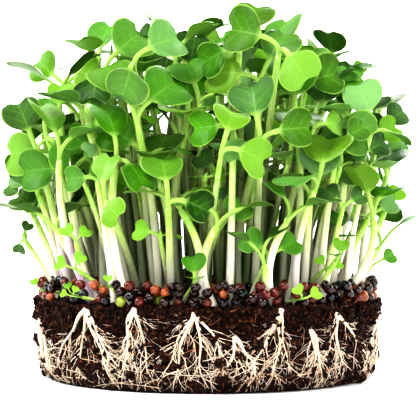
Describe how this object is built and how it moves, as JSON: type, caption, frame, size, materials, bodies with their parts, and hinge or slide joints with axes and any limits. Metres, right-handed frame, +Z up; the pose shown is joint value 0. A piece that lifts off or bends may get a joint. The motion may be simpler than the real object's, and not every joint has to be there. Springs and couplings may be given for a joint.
{
  "type": "microgreens on a root-bound soil plug",
  "caption": "Round plug of growing mix bound by its own roots, with a dense stand of radish-type microgreens and seed hulls round its rim; stands on its flat underside",
  "frame": {"origin": "centre of the plug's flat underside", "axes": "+Z up the stems, -Y towards the viewer of the front rows, +X to that viewer's right"},
  "size_m": [0.1098, 0.1075, 0.0974],
  "materials": {
    "soil": "matte",
    "roots": "satin",
    "seed_hulls": "satin",
    "stems": "satin",
    "leaves": "satin"
  },
  "bodies": {
    "root": {"leaves_01": "leaves", "leaves_02": "leaves", "leaves_03": "leaves", "leaves_04": "leaves", "leaves_05": "leaves", "leaves_06": "leaves", "leaves_07": "leaves", "leaves_08": "leaves", "leaves_09": "leaves", "leaves_10": "leaves", "leaves_11": "leaves", "leaves_12": "leaves", "leaves_13": "leaves", "leaves_14": "leaves", "leaves_15": "leaves", "leaves_16": "leaves", "leaves_17": "leaves", "leaves_18": "leaves", "leaves_19": "leaves", "leaves_20": "leaves", "leaves_21": "leaves", "leaves_22": "leaves", "leaves_23": "leaves", "leaves_24": "leaves", "leaves_25": "leaves", "leaves_26": "leaves", "leaves_27": "leaves", "root_web": "roots", "seed_hulls": "seed_hulls", "soil_plug": "soil", "stems_01": "stems", "stems_02": "stems", "stems_03": "stems", "stems_04": "stems", "stems_05": "stems", "stems_06": "stems", "stems_07": "stems", "stems_08": "stems", "stems_09": "stems", "stems_10": "stems", "stems_11": "stems", "stems_12": "stems", "stems_13": "stems", "stems_14": "stems", "stems_15": "stems", "stems_16": "stems", "stems_17": "stems", "stems_18": "stems", "stems_19": "stems", "stems_20": "stems", "stems_21": "stems", "stems_22": "stems", "stems_23": "stems", "stems_24": "stems", "stems_25": "stems", "stems_26": "stems", "stems_27": "stems"}
  },
  "joints": []
}
